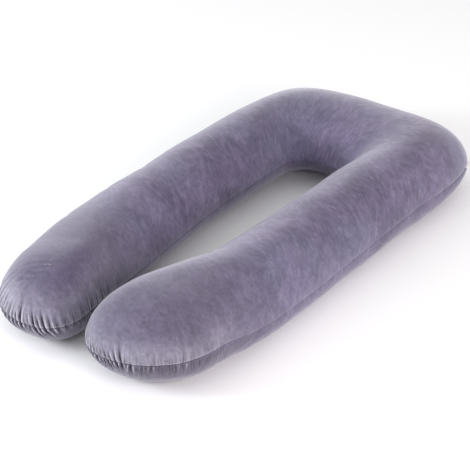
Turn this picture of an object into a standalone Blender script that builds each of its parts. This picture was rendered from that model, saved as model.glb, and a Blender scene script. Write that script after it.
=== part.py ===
"""U-shaped pregnancy pillow in short-pile velvet, lying flat on its back.

It is one filled cushion. An upper and a lower panel are sewn together round the whole outline,
and the cloth is gathered where that seam turns round the two leg ends. A small blank label is
caught in the seam at one corner of the closed end.

Frame in metres: +Z up with the underside on z = 0, the closed end towards +Y and the two leg
ends towards -Y. The origin is under the middle of the whole part's bounding box.
"""

import math
from collections import namedtuple

import bmesh
import bpy
from mathutils import Matrix, Vector
from mathutils.bvhtree import BVHTree

# Outline of the U, in metres
CLOSED_END_Y = 0.728
SHOULDER_Y = 0.342          # where the legs meet the closed end
LEG_END_Y = -0.548          # where a leg's round end begins
HALF_WIDTH = 0.363          # at the shoulder
SLOT_HALF_WIDTH = 0.105     # half of the space between the legs, at the shoulder
SLOT_END_Y = 0.404
CORNER_POWER = 4.8          # 2 is an ellipse, more is squarer
CLOSED_END_HEIGHT = 0.212

# A leg's round end: how far it reaches, and how square it is on its outer and inner side
LegEnd = namedtuple("LegEnd", "depth outer_power inner_power")
NEAR_END = LegEnd(0.190, 2.15, 2.0)
FAR_END = LegEnd(0.184, 2.4, 2.4)

# A leg's sections, from its end (0) to the shoulder (1). "outer", "inner" and "crest" are
# distances from the U's middle line, and "seam" is the seam's share of the height.
LegRow = namedtuple("LegRow", "along outer inner crest height seam")
SHOULDER = LegRow(1.0, HALF_WIDTH, SLOT_HALF_WIDTH, (HALF_WIDTH + SLOT_HALF_WIDTH) / 2, 0.217, 0.410)
NEAR_LEG = (
    LegRow(0.00, 0.368, 0.036, 0.142, 0.222, 0.500),
    LegRow(0.16, 0.379, 0.060, 0.190, 0.219, 0.400),
    LegRow(0.33, 0.375, 0.088, 0.238, 0.213, 0.365),
    LegRow(0.67, 0.365, 0.107, 0.238, 0.219, 0.375),
    SHOULDER,
)
FAR_LEG = (
    LegRow(0.00, 0.323, 0.022, 0.130, 0.216, 0.460),
    LegRow(0.16, 0.353, 0.050, 0.190, 0.217, 0.400),
    LegRow(0.33, 0.364, 0.080, 0.225, 0.213, 0.365),
    LegRow(0.67, 0.361, 0.107, 0.235, 0.219, 0.375),
    SHOULDER,
)
FLOWING_COLUMNS = ("outer", "inner")    # the leg's sides keep their slope on to its round end
# Where sections are drawn along a leg: close together over the gathers at its end
LEG_SECTIONS = (0.0, 0.022, 0.044, 0.068, 0.10, 0.15, 0.22, 0.30, 0.40, 0.50, 0.60, 0.70, 0.80, 0.90, 1.0)
CLOSED_END_SPANS = 18
LEG_END_SPANS = 26
LEG_END_DROP = 0.07         # how much lower the cushion is towards a leg's very end

# Half a section, from the crest over the seam to the middle of the underside. "out" is a share of
# the half width, "level" is 1 on the crest, 0 on the seam and -1 on the underside, "lean" is how
# much further out the row is on the U's outer side, where the lower panel is fuller, and "gather"
# is the share of the gathers' depth that reaches this row.
SectionRow = namedtuple("SectionRow", "out level lean gather")
SECTION = (
    SectionRow(0.000, 1.00, 0.0, 0.0),
    SectionRow(0.330, 0.955, 0.0, 0.0),
    SectionRow(0.665, 0.750, 0.0, 0.12),
    SectionRow(0.900, 0.450, 0.0, 0.60),
    SectionRow(1.010, 0.170, 0.0, 1.0),
    SectionRow(0.970, 0.00, 0.0, 0.5),
    SectionRow(0.980, -0.22, 0.02, 1.0),
    SectionRow(0.820, -0.62, 0.07, 0.7),
    SectionRow(0.570, -1.00, 0.08, 0.0),
    SectionRow(0.390, -1.00, 0.05, 0.0),
    SectionRow(0.000, -1.00, 0.0, 0.0),
)
SEAM_ROW = 5

# Gathers: pleats that cross the seam round the leg ends and fade along the legs
GATHER_DEPTH = 0.007
GATHER_REACH = 0.17         # share of a leg's length over which they fade
GATHER_UNEVENNESS = 0.45
GATHER_BEAT = 1.9           # radians of unevenness from one half section to the next

# The label, folded ribbon caught in the seam
LABEL_BEARING = math.radians(40.0)   # round the closed end, from +X
LABEL_WIDTH = 0.034
LABEL_REACH = 0.022
LABEL_THICKNESS = 0.0014
LABEL_EDGE_ROUND = 0.0004
LABEL_DROOP = math.radians(9.0)
LABEL_SEAT_GAP = 0.0009     # from the bottom of the seam's groove, which is wider than the label

Station = namedtuple("Station", "crest outer inner height seam gather")
HalfSection = namedtuple("HalfSection", "station edge height seam side gather")


def clear_scene():
    """Remove every object of the scene that is open."""
    for obj in list(bpy.data.objects):
        bpy.data.objects.remove(obj, do_unlink=True)


def make_material(name, colour, roughness):
    """A Principled BSDF cloth material with a linear base colour."""
    material = bpy.data.materials.new(name)
    material.use_nodes = True
    shader = material.node_tree.nodes["Principled BSDF"]
    shader.inputs["Base Color"].default_value = (*colour, 1.0)
    shader.inputs["Roughness"].default_value = roughness
    shader.inputs["Metallic"].default_value = 0.0
    return material


def eased(rows, column, along):
    """Read one column of a leg's table at a place along it, level at its ends unless it flows on."""
    keys = [row.along for row in rows]
    values = [getattr(row, column) for row in rows]
    slopes = [0.0] * len(rows)
    for i in range(1, len(rows) - 1):
        slopes[i] = (values[i + 1] - values[i - 1]) / (keys[i + 1] - keys[i - 1])
    if column in FLOWING_COLUMNS:
        slopes[0] = (values[1] - values[0]) / (keys[1] - keys[0])
    i = max(k for k in range(len(rows) - 1) if keys[k] <= along)
    span = keys[i + 1] - keys[i]
    t = (along - keys[i]) / span
    start = (2 * t**3 - 3 * t**2 + 1) * values[i] + (t**3 - 2 * t**2 + t) * span * slopes[i]
    end = (3 * t**2 - 2 * t**3) * values[i + 1] + (t**3 - t**2) * span * slopes[i + 1]
    return start + end


def squared_circle(angle, power):
    """The point at this bearing on a unit circle that a power over 2 makes squarer."""
    cosine = math.cos(angle)
    sine = math.sin(angle)
    radius = (abs(cosine) ** power + abs(sine) ** power) ** (-1.0 / power)
    return Vector((radius * cosine, radius * sine))


def leg_stations(rows, side):
    """Sections of one leg from its end to the shoulder; side is +1 at +X and -1 at -X."""
    stations = []
    for along in LEG_SECTIONS:
        y = LEG_END_Y + (SHOULDER_Y - LEG_END_Y) * along
        places = [Vector((side * eased(rows, name, along), y)) for name in ("crest", "outer", "inner")]
        fade = max(0.0, 1.0 - along / GATHER_REACH)
        stations.append(Station(*places, eased(rows, "height", along), eased(rows, "seam", along), fade))
    return stations


def closed_end_height(bearing):
    """Height of the cushion at a bearing round the closed end."""
    return SHOULDER.height + (CLOSED_END_HEIGHT - SHOULDER.height) * math.sin(bearing)


def closed_end_stations():
    """Sections of the closed end between the two shoulders, from -X round to +X."""
    stations = []
    for k in range(1, CLOSED_END_SPANS):
        bearing = math.pi * (1 - k / CLOSED_END_SPANS)
        corner = squared_circle(bearing, CORNER_POWER)
        outer = Vector((HALF_WIDTH * corner.x, SHOULDER_Y + (CLOSED_END_Y - SHOULDER_Y) * corner.y))
        inner = Vector((SLOT_HALF_WIDTH * math.cos(bearing),
                        SHOULDER_Y + (SLOT_END_Y - SHOULDER_Y) * math.sin(bearing)))
        height = closed_end_height(bearing)
        stations.append(Station((outer + inner) / 2, outer, inner, height, SHOULDER.seam, 0.0))
    return stations


def half_section_vertices(bm, top, bottom, crest, half, offset):
    """Vertices of one half section, from the shared crest vertex to the shared underside vertex."""
    width = half.edge - crest
    vertices = [top]
    for row in SECTION[1:-1]:
        out = row.out + row.lean * half.side
        plan = crest + width * out + width.normalized() * offset * row.gather
        if row.level > 0:
            share = half.seam + (1 - half.seam) * row.level
        else:
            share = half.seam * (1 + row.level)
        vertices.append(bm.verts.new((plan.x, plan.y, half.height * share)))
    vertices.append(bottom)
    return vertices


def leg_end_edge(rows, end, side, turn):
    """Seam point of a leg's round end; turn runs from 0 on the outer side to pi on the inner side.

    The leg's side carries on with its own slope while the round end closes in on the nose.
    """
    on_outer = turn < math.pi / 2
    column = "outer" if on_outer else "inner"
    round_point = squared_circle(turn, end.outer_power if on_outer else end.inner_power)
    depth = end.depth * round_point.y
    first, second = rows[:2]
    slope = (getattr(second, column) - getattr(first, column)) / (second.along - first.along)
    edge_x = getattr(first, column) - slope * depth / (SHOULDER_Y - LEG_END_Y)
    x = first.crest + (edge_x - first.crest) * abs(round_point.x)
    return Vector((side * x, LEG_END_Y - depth))


def leg_end_fan(rows, end, side, station, index):
    """Half sections that fan round the end of a leg about its last crest point, outer side first."""
    fan = []
    for step in range(1, LEG_END_SPANS):
        turn = math.pi * step / LEG_END_SPANS
        height = station.height * (1 - LEG_END_DROP * math.sin(turn))
        edge = leg_end_edge(rows, end, side, turn)
        fan.append(HalfSection(index, edge, height, station.seam, math.cos(turn), station.gather))
    return fan


def outline_half_sections(stations):
    """Every half section, in order round the outline."""
    last = len(stations) - 1
    outer_side = [HalfSection(i, s.outer, s.height, s.seam, 1.0, s.gather) for i, s in enumerate(stations)]
    inner_side = [HalfSection(i, s.inner, s.height, s.seam, -1.0, s.gather) for i, s in enumerate(stations)]
    inner_side.reverse()
    near_end = leg_end_fan(NEAR_LEG, NEAR_END, 1, stations[last], last)
    far_end = leg_end_fan(FAR_LEG, FAR_END, -1, stations[0], 0)
    far_end.reverse()
    return outer_side + near_end + inner_side + far_end


def gather_offset(place, strength):
    """How far the cloth stands out or is drawn in at this half section: in and out by turns."""
    uneven = 1 + GATHER_UNEVENNESS * math.sin(GATHER_BEAT * place)
    return GATHER_DEPTH * strength * uneven * (-1) ** place


def make_body(collection, material):
    """The cushion: a coarse cage of half sections, creased at the seam and subdivided."""
    near = leg_stations(NEAR_LEG, 1)
    near.reverse()
    stations = leg_stations(FAR_LEG, -1) + closed_end_stations() + near

    bm = bmesh.new()
    tops = []
    bottoms = []
    for i, station in enumerate(stations):
        at_leg_end = i in (0, len(stations) - 1)
        height = station.height * (1 - LEG_END_DROP / 2) if at_leg_end else station.height
        tops.append(bm.verts.new((*station.crest, height)))
        bottoms.append(bm.verts.new((*station.crest, 0.0)))

    ring = []
    for place, half in enumerate(outline_half_sections(stations)):
        i = half.station
        offset = gather_offset(place, half.gather)
        ring.append(half_section_vertices(bm, tops[i], bottoms[i], stations[i].crest, half, offset))

    crease = bm.edges.layers.float.new("crease_edge")
    for here, there in zip(ring, ring[1:] + ring[:1]):
        for row in range(len(SECTION) - 1):
            corners = [here[row], there[row], there[row + 1], here[row + 1]]
            bm.faces.new(list(dict.fromkeys(corners)))
        bm.edges.get((here[SEAM_ROW], there[SEAM_ROW]))[crease] = 1.0
    bmesh.ops.recalc_face_normals(bm, faces=bm.faces)

    mesh = bpy.data.meshes.new("pillow_body")
    bm.to_mesh(mesh)
    bm.free()
    mesh.shade_smooth()
    mesh.materials.append(material)
    body = bpy.data.objects.new("pillow_body", mesh)
    collection.objects.link(body)
    soften = body.modifiers.new("soft form", "SUBSURF")
    soften.levels = 1
    soften.render_levels = 1
    return body


def evaluated_surface(obj):
    """The object's final surface as a search tree."""
    bpy.context.view_layer.update()
    return BVHTree.FromObject(obj, bpy.context.evaluated_depsgraph_get())


def seam_at(body, bearing):
    """Point in the seam's groove round the closed end, and the level direction square to the seam."""
    corner = squared_circle(bearing, CORNER_POWER)
    middle = Vector((0, SHOULDER_Y, closed_end_height(bearing) * SHOULDER.seam))
    towards = Vector((HALF_WIDTH * corner.x, (CLOSED_END_Y - SHOULDER_Y) * corner.y, 0.0))
    far_outside = middle + 2 * towards
    place, normal = evaluated_surface(body).ray_cast(far_outside, -towards.normalized())[:2]
    return place, Vector((normal.x, normal.y, 0.0)).normalized()


def make_label(collection, material, body):
    """The folded label: a thin slab with rounded edges that droops a little from the seam."""
    root, outward = seam_at(body, LABEL_BEARING)
    bpy.ops.mesh.primitive_cube_add(size=1.0)
    label = bpy.context.active_object
    label.name = "side_label"
    label.data.name = "side_label"
    size = Matrix.Diagonal((LABEL_REACH, LABEL_WIDTH, LABEL_THICKNESS, 1.0))
    label.data.transform(Matrix.Translation((LABEL_REACH / 2, 0, 0)) @ size)
    label.location = root + outward * LABEL_SEAT_GAP
    label.rotation_euler = (0, LABEL_DROOP, math.atan2(outward.y, outward.x))
    label.data.materials.append(material)
    rounding = label.modifiers.new("edges", "BEVEL")
    rounding.width = LABEL_EDGE_ROUND
    rounding.segments = 2
    for owner in list(label.users_collection):
        owner.objects.unlink(label)
    collection.objects.link(label)
    return label


def centre_over_origin(objects):
    """Move the objects so that the origin is under the middle of their common box."""
    bpy.context.view_layer.update()
    graph = bpy.context.evaluated_depsgraph_get()
    corners = []
    for obj in objects:
        shape = obj.evaluated_get(graph)
        corners += [shape.matrix_world @ vertex.co for vertex in shape.data.vertices]
    middle = [(min(c[i] for c in corners) + max(c[i] for c in corners)) / 2 for i in range(2)]
    for obj in objects:
        obj.location -= Vector((*middle, 0.0))


def build():
    clear_scene()
    collection = bpy.data.collections.new("u_pillow")
    bpy.context.scene.collection.children.link(collection)
    velvet = make_material("velvet", (0.208, 0.188, 0.268), 0.9)
    satin = make_material("label_satin", (0.80, 0.79, 0.78), 0.5)
    body = make_body(collection, velvet)
    label = make_label(collection, satin, body)
    centre_over_origin([body, label])


build()
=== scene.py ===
"""Looks of the U-shaped body pillow: its filled velvet cushion, drawn-in seam, gathers and label.

The cushion is laid out as one grid of quads for each panel, and the two panels share the seam's
vertices. A short cloth simulation fills it. The seam, gathers and soft creases come after that.
"""

import math
from collections import namedtuple
from functools import partial

import bpy
import numpy as np
from mathutils import Matrix, Vector, noise


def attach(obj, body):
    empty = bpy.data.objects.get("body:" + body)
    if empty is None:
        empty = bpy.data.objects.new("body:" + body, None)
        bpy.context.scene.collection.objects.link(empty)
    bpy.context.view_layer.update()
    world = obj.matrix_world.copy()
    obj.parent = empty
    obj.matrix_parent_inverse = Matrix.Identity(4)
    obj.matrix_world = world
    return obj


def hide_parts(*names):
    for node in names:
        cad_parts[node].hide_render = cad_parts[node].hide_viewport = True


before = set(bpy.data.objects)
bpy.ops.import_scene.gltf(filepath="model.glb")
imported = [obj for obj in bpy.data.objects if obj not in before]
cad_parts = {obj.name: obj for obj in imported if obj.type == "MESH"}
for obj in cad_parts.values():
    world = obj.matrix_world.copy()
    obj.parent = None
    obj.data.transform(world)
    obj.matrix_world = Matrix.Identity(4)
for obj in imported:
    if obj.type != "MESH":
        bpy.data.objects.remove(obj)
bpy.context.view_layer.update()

# The U in metres. Once filled, its outline reaches at most about 5 mm outside the part's own. The near
# leg is the one at +X, which is nearer to the camera, and the far leg is at -X
CLOSED_END_Y = 0.728
SHOULDER_Y = 0.342          # where the legs meet the closed end
LEG_END_Y = -0.548          # where a leg's round end begins
HALF_WIDTH = 0.363          # at the shoulder
SLOT_HALF_WIDTH = 0.105     # half of the space between the legs, at the shoulder
SLOT_END_Y = 0.404
CORNER_POWER = 4.4          # 2 is an ellipse, more is squarer
CLOSED_END_HEIGHT = 0.209
LEG_END_DROP = 0.07         # the share of its height that the cushion loses towards a leg's very end

# How far a leg's round end reaches, and how square it is on its outer and inner side
LegEnd = namedtuple("LegEnd", "depth outer_power inner_power")
NEAR_END = LegEnd(0.190, 2.15, 2.0)
FAR_END = LegEnd(0.184, 2.4, 2.4)

# Rows across a leg: "along" is 0 where the round end begins and 1 at the shoulder. "outer", "inner"
# and "crest" are distances from the middle of the U, and "seam" is a share of the height
LegRow = namedtuple("LegRow", "along outer inner crest height seam")
SHOULDER = LegRow(1.0, HALF_WIDTH, SLOT_HALF_WIDTH, (HALF_WIDTH + SLOT_HALF_WIDTH) / 2, 0.217, 0.410)
NEAR_LEG = (
    LegRow(0.00, 0.368, 0.036, 0.148, 0.222, 0.500),
    LegRow(0.16, 0.379, 0.060, 0.190, 0.219, 0.400),
    LegRow(0.33, 0.377, 0.088, 0.238, 0.213, 0.365),
    LegRow(0.67, 0.368, 0.107, 0.238, 0.219, 0.375),
    SHOULDER,
)
FAR_LEG = (
    LegRow(0.00, 0.323, 0.022, 0.130, 0.216, 0.460),
    LegRow(0.16, 0.353, 0.050, 0.190, 0.217, 0.400),
    LegRow(0.33, 0.364, 0.080, 0.225, 0.213, 0.365),
    LegRow(0.67, 0.361, 0.107, 0.235, 0.219, 0.375),
    SHOULDER,
)
FLOWING_COLUMNS = ("outer", "inner")    # the sides keep their slope on to the round end

# Grid of one panel: strips across it, and lines along a leg, round the closed end and over an end
ACROSS = 60
LEG_LINES = 48
CLOSED_END_LINES = 48
END_LINES = ACROSS // 2
LINE_GRADING = 0.6          # the lines at a leg's end lie this share closer than the average
SEAM_GRADING = 0.5          # and so do the strips at the seam
ARC_STEPS = 400             # for measuring the seam round a leg's end
TINY = 1e-9                 # keeps a division away from zero

# Section of the cushion, where power 2 is an ellipse
UPPER_POWER = 1.9
LOWER_POWER = 1.85
LOWER_LEAN = 0.25           # the lower panel is this much fuller on the outer side of the U
UNDERSIDE_DEPTH = 0.0146    # how far the round lower side would reach below the floor

# Filling the cushion, by cloth simulation. Places along the seam are metres from a leg's nose
CLOTH_SETTINGS = {
    "quality": 5,
    "mass": 0.3,
    "tension_stiffness": 15,
    "compression_stiffness": 15,
    "shear_stiffness": 5,
    "bending_stiffness": 0.3,
    "use_pressure": True,
    "uniform_pressure_force": 4.0,
}
LAST_FRAME = 20
PATTERN_FADE = (0.02, 0.50) # from a leg's end, flat cut cloth changes to the filled shape between these
SEAM_SHRINK = 0.02          # how much the sewing thread shortens the seam, as a share
SEWN_PLACES = (0.0, 0.30, 0.50)
SEWN_SHARES = (1.0, 0.8, 0.35)          # how much of that shortening each of these places gets
MOST_MOVE = 0.010           # no point of the cloth moves further than this
FLOOR_HOLD = 0.012          # the cloth below this height is held by the floor
FILLING_HOLD = 0.12         # and the rest is held this much by the filling
FLOOR_FADE = 0.02           # below this height the cloth's relief fades, so it lies flat on the floor
WEIGHT_STEPS = 200          # vertex groups are written in steps, which is quicker

# The seam's groove
SEAM_DEPTH = 0.0040
SEAM_REACH = 0.005          # the groove fades over this distance to each side
END_REACH = (0.18, 0.40)    # round a leg's end it is deepest up to the first of these along the seam
SEAM_REST = 0.26            # and from the second on it is this much as deep, as nothing draws it in
LIP_HEIGHT = 0.0024         # the filling pushes the cloth out on both sides of the groove
LIP_REACH = 0.026

# Gathers that cross the seam round a leg's end, in metres. "at" is the place on the seam, from the
# leg's nose and positive on the outer side of the U. "above" and "below" are the lengths on the
# upper and lower panel, and "slant" is the drift along the seam for each metre above it.
Gather = namedtuple("Gather", "at depth width above below slant")
NEAR_GATHERS = (
    Gather(-0.150, 0.0018, 0.0040, 0.050, 0.030, 0.10),
    Gather(-0.118, 0.0022, 0.0036, 0.045, 0.030, 0.05),
    Gather(-0.092, 0.0024, 0.0032, 0.050, 0.030, 0.00),
    Gather(-0.070, 0.0030, 0.0032, 0.050, 0.035, -0.05),
    Gather(-0.050, 0.0028, 0.0030, 0.040, 0.040, -0.15),
    Gather(-0.032, 0.0028, 0.0028, 0.035, 0.045, -0.30),
    Gather(-0.016, 0.0034, 0.0028, 0.032, 0.045, -0.40),
    Gather(-0.002, 0.0026, 0.0026, 0.025, 0.045, -0.45),
    Gather(0.010, 0.0030, 0.0026, 0.030, 0.045, -0.45),
    Gather(0.021, 0.0046, 0.0028, 0.040, 0.042, -0.40),
    Gather(0.033, 0.0040, 0.0028, 0.032, 0.045, -0.35),
    Gather(0.047, 0.0050, 0.0030, 0.036, 0.040, -0.25),
    Gather(0.061, 0.0052, 0.0036, 0.058, 0.035, -0.15),
    Gather(0.074, 0.0010, 0.0024, 0.014, 0.036, -0.05),
    Gather(0.086, 0.0050, 0.0030, 0.010, 0.036, 0.00),
    Gather(0.103, 0.0012, 0.0024, 0.014, 0.030, 0.00),
    Gather(0.116, 0.0024, 0.0022, 0.018, 0.040, 0.03),
    Gather(0.125, 0.0016, 0.0020, 0.026, 0.030, 0.00),
    Gather(0.138, 0.0036, 0.0028, 0.012, 0.042, 0.05),
    Gather(0.166, 0.0008, 0.0030, 0.020, 0.030, 0.05),
    Gather(0.190, 0.0010, 0.0032, 0.030, 0.026, 0.10),
    Gather(0.216, 0.0024, 0.0040, 0.070, 0.032, 0.15),
    Gather(0.236, 0.0014, 0.0040, 0.045, 0.040, 0.15),
    Gather(0.275, 0.0012, 0.0045, 0.040, 0.040, 0.10),
    Gather(0.325, 0.0010, 0.0050, 0.040, 0.030, 0.10),
)
FAR_GATHERS = (
    Gather(-0.260, 0.0014, 0.0050, 0.040, 0.025, 0.05),
    Gather(-0.215, 0.0020, 0.0042, 0.045, 0.030, 0.07),
    Gather(-0.178, 0.0024, 0.0038, 0.050, 0.030, 0.11),
    Gather(-0.150, 0.0026, 0.0036, 0.045, 0.035, 0.14),
    Gather(-0.126, 0.0028, 0.0034, 0.050, 0.035, 0.18),
    Gather(-0.104, 0.0032, 0.0032, 0.045, 0.040, 0.20),
    Gather(-0.087, 0.0038, 0.0030, 0.045, 0.045, 0.23),
    Gather(-0.070, 0.0062, 0.0032, 0.055, 0.055, 0.23),
    Gather(-0.056, 0.0050, 0.0028, 0.050, 0.055, 0.25),
    Gather(-0.042, 0.0062, 0.0032, 0.055, 0.055, 0.23),
    Gather(-0.027, 0.0020, 0.0026, 0.030, 0.030, 0.20),
    Gather(-0.013, 0.0020, 0.0026, 0.030, 0.030, 0.16),
    Gather(0.003, 0.0062, 0.0034, 0.060, 0.035, 0.11),
    Gather(0.018, 0.0030, 0.0028, 0.045, 0.030, 0.10),
    Gather(0.033, 0.0026, 0.0030, 0.070, 0.040, 0.00),
    Gather(0.049, 0.0034, 0.0030, 0.090, 0.040, -0.05),
    Gather(0.066, 0.0026, 0.0030, 0.080, 0.040, -0.10),
    Gather(0.085, 0.0036, 0.0032, 0.100, 0.040, -0.15),
    Gather(0.104, 0.0028, 0.0032, 0.090, 0.035, -0.20),
    Gather(0.124, 0.0036, 0.0034, 0.100, 0.035, -0.20),
    Gather(0.149, 0.0030, 0.0036, 0.090, 0.030, -0.20),
    Gather(0.177, 0.0024, 0.0040, 0.070, 0.030, -0.15),
    Gather(0.211, 0.0018, 0.0046, 0.055, 0.025, -0.10),
    Gather(0.256, 0.0012, 0.0050, 0.040, 0.025, -0.10),
)
GATHER_SPREAD = 0.080       # a gather is twice as wide this far from the seam
GATHER_STRENGTH = 1.2
GATHER_POWER = 1.4          # 2 is a round valley, less is sharper
GATHER_END_POWER = 1.6      # and this is how it fades along its length
BULGE_HEIGHT = 0.36         # the cloth bulges this much beside a gather, for its depth
BULGE_PLACE = 2.0           # and it does so this many widths from the gather's middle
BULGE_WIDTH = 0.8
THREAD_HOLD = 0.7           # the sewing thread holds back this share of a gather at the seam
THREAD_REACH = 0.004        # and less of it up to about this far from the seam

# Soft creases on the upper panel. "at" and "above" place the middle, as for a gather, "turn" is
# the angle from the seam's direction towards the crest, and "bend" is the rise of the ends.
Crease = namedtuple("Crease", "at above turn length width depth bend")
NEAR_CREASES = (
    Crease(0.700, 0.050, 70, 0.080, 0.0130, 0.0012, 0.004),
    Crease(0.755, 0.080, 55, 0.100, 0.0140, 0.0014, 0.006),
    Crease(0.810, 0.050, 75, 0.080, 0.0130, 0.0012, 0.004),
    Crease(0.870, 0.085, 65, 0.100, 0.0140, 0.0014, 0.008),
    Crease(0.430, 0.060, 40, 0.080, 0.0100, 0.0016, 0.006),
    Crease(0.520, 0.120, 30, 0.110, 0.0110, 0.0020, 0.010),
    Crease(0.250, 0.110, 55, 0.090, 0.0080, 0.0016, 0.008),
)
FAR_CREASES = (
    Crease(0.480, 0.110, 120, 0.090, 0.0100, 0.0018, 0.006),
    Crease(0.640, 0.120, 60, 0.100, 0.0130, 0.0024, 0.008),
    Crease(0.800, 0.100, 110, 0.090, 0.0130, 0.0022, 0.006),
)

# Fine creases across the top of the far leg's end, by their two ends in plan
TopCrease = namedtuple("TopCrease", "start end depth")
TOP_CREASES = (
    TopCrease((-0.186, -0.606), (-0.136, -0.590), 0.0010),
    TopCrease((-0.199, -0.633), (-0.101, -0.594), 0.0016),
    TopCrease((-0.188, -0.646), (-0.111, -0.617), 0.0014),
    TopCrease((-0.190, -0.658), (-0.134, -0.647), 0.0016),
    TopCrease((-0.188, -0.673), (-0.143, -0.667), 0.0014),
)
TOP_CREASE_WIDTH = 0.0042

# How the depth of gathers and creases tones the velvet, with painted shade and highlight, in metres
FULL_GATHER = 0.004         # a gather this deep gets full painted shade inside
FULL_CREASE = 0.022         # a soft crease is a little paler instead, by its depth over this

# Unevenness of the filling
LUMP_SIZE = 0.15
LUMP_HEIGHT = 0.0030
DIMPLE_SIZE = 0.045
DIMPLE_HEIGHT = 0.0007

CENTRING = (-0.00686, 0.00554, 0.0)     # from the outline above to the part's own frame

# The label, ribbon folded in half. Its side view is measured outwards from the seam and up
LABEL_PLACE = (0.32172, 0.64032, 0.08765)
LABEL_HEADING = math.radians(25.8)
LABEL_DROOP = math.radians(9.0)
LABEL_WIDTH = 0.034
LABEL_THICKNESS = 0.0003
LABEL_STRIPS = 8            # across its width
RIBBON_HALF = ((-0.004, 0.0), (0.004, 0.0006), (0.011, 0.0009), (0.017, 0.0009), (0.0205, 0.0007))
RIBBON_HALF_GAP = 0.0003    # each half lies this much further from the middle
RIBBON_FOLD = 0.0216        # the middle of the fold's bend
BEND_DEPTH = 0.0005
BEND_HEIGHT = 0.0006
BEND_START = 0.3            # the angle from upright at which the bend leaves the upper half
BEND_POINTS = 5
LABEL_SAG = 0.108           # how much its two long edges sag, growing towards the fold

# Colours of the velvet, and of the shade and highlights painted on it
# the darker tone of the pile, also laid on the tops of the leg ends as painted shade
VELVET_DARK_TONE_AND_SHADE = "#4c455c"
VELVET_LIGHT = "#736a84"
VELVET_COOL = "#63657c"
# a painted sheen that greys the pile towards the legs' ends
VELVET_PAINTED_SHEEN = "#646169"
# the lower panel below the seam: its pile lies down, and painted shade darkens it further
VELVET_LOW = "#3f394f"
# pale pile for the light lines between strokes, and the painted highlights above the seam and on the
# fronts of the leg ends
VELVET_PALE_PILE_AND_HIGHLIGHT = "#a29fab"
# painted highlight on the bulge beside a gather, and the paler tone of a soft crease
VELVET_RIDGE_HIGHLIGHT = "#b9b6c0"
# painted shade in the seam's groove, inside the gathers and in the finest folds
VELVET_CREVICE_SHADE = "#262230"
VELVET_SHEEN_TINT = "#e6e4ec"
VELVET_FINISH = {"Roughness": 0.85, "Specular IOR Level": 0.2, "Sheen Roughness": 0.45}
UPPER_SHEEN = 0.85
LOWER_SHEEN = 0.52          # its pile lies down, so it glows less

# Real sizes of the patterns, in millimetres
PATCH_MM = 125
DRIFT_MM = 165              # over this length the strokes change direction
COOL_MM = 200
CRUSHED_MM = (20, 9)        # short crushed marks, along and across
SMUDGE_MM = 22
FOLD_MM = (6.7, 90)         # the finest folds beside the seam, across and along
PILE_MM = 1.1               # drawn coarser than the real pile, which at under 0.5 mm wouldn't show
WEAVE_MM = 0.6              # drawn coarser than the ribbon's real weave of under 0.2 mm

# The three sets of strokes in which the pile was brushed: angles from the run of the leg in
# degrees, and sizes in millimetres. The first two shade the pile and the third gives light lines
Stroke = namedtuple("Stroke", "turn length width")
STROKES = (Stroke(-62, 70, 12), Stroke(-108, 50, 8), Stroke(-70, 80, 13))
STROKE_SHARES = (0.55, 0.45)
STROKE_DRIFT = 0.10         # how far the strokes wander, in metres
CRUSHED_TURN = -75          # degrees, as for the strokes
NOISE_MIDDLE = 0.5          # every noise pattern varies about this

# Fades in the velvet's tones: a tone goes from "first" to "last" while what it follows goes from
# "start" to "end". That is in metres, except for the noise patterns and the depth of a gather
Fade = namedtuple("Fade", "start end first last", defaults=(0.0, 1.0))
PATCH_TONE = Fade(0.35, 0.65, 0.0, 0.5)
STROKE_TONE = Fade(0.35, 0.65, 0.0, 0.3)
LINE_TONE = Fade(0.0, 0.035, 1.0, 0.0)          # thin light lines between strokes
LINE_BREAKS = Fade(0.45, 0.60, 0.0, 0.14)       # and where they break off
COOL_TONE = Fade(0.42, 0.62, 0.0, 0.3)
CRUSHED_TONE = Fade(0.32, 0.68, 0.91, 1.09)
SMUDGE_TONE = Fade(0.32, 0.68, 0.85, 1.15)
LEG_END_IN_Y = Fade(-0.58, -0.20, 1.0, 0.0)     # towards the legs' ends
END_IN_RUN = Fade(*END_REACH, 1.0, 0.0)
LYING_PILE_AND_SHADE = Fade(-0.012, -0.001, 0.66, 0.0)    # below the seam, where the pile lies down and painted shade darkens it
LYING_PILE_AND_SHADE_LEAST = 0.12                         # this much of it is left towards the closed end
UNDER_NOSE = Fade(0.07, 0.14, 1.45, 1.0)        # and the painted shade is stronger under a leg's nose
# how much painted sheen greys the pile towards the legs' ends
PAINTED_SHEEN_SHARE = 0.40
# painted shade on the tops of the leg ends
TOP_SHADE = Fade(0.06, 0.15)
SEAM_HIGHLIGHT_RISE = Fade(0.0015, 0.004)                  # a thin painted highlight just above the seam's groove
SEAM_HIGHLIGHT_FALL = Fade(0.006, 0.014, 0.25, 0.0)
ABOVE_SEAM = Fade(0.0, 0.006)
# a painted highlight above the seam on the front of the leg ends, in uneven patches
HIGHLIGHT_PATCHES = Fade(0.3, 0.6, 0.12, 0.36)
HIGHLIGHT_UP_FROM = 0.02                             # the painted highlight is full up to here above the seam
HIGHLIGHT_ALONG_FROM = 0.11                          # and up to here on both sides of its middle
# the brightest painted highlight, round one spot
HIGHLIGHT_SPOT = Fade(0.010, 0.075, 0.45, 0.0)
HIGHLIGHT_SPOT_PLACE = (-0.205, -0.710, 0.125)       # the middle of the brightest painted highlight, on the outer front of the far leg
# painted shade in the seam's groove
SEAM_GROOVE_SHADE = Fade(0.0006, 0.0030, 0.6, 0.0)
SEAM_GROOVE_SHADE_LEAST = 0.55                           # this much of it is left along the legs
RIDGE_HIGHLIGHT = Fade(-0.42, -0.06, 0.8, 0.0)       # painted highlight on the bulge beside a gather, and the paler tone of a soft crease
HOLLOW_SHADE = Fade(0.1, 1.0, 0.0, 0.9)          # and painted shade inside a gather
FOLD_REACH = Fade(0.001, 0.080, 1.0, 0.0)
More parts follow.
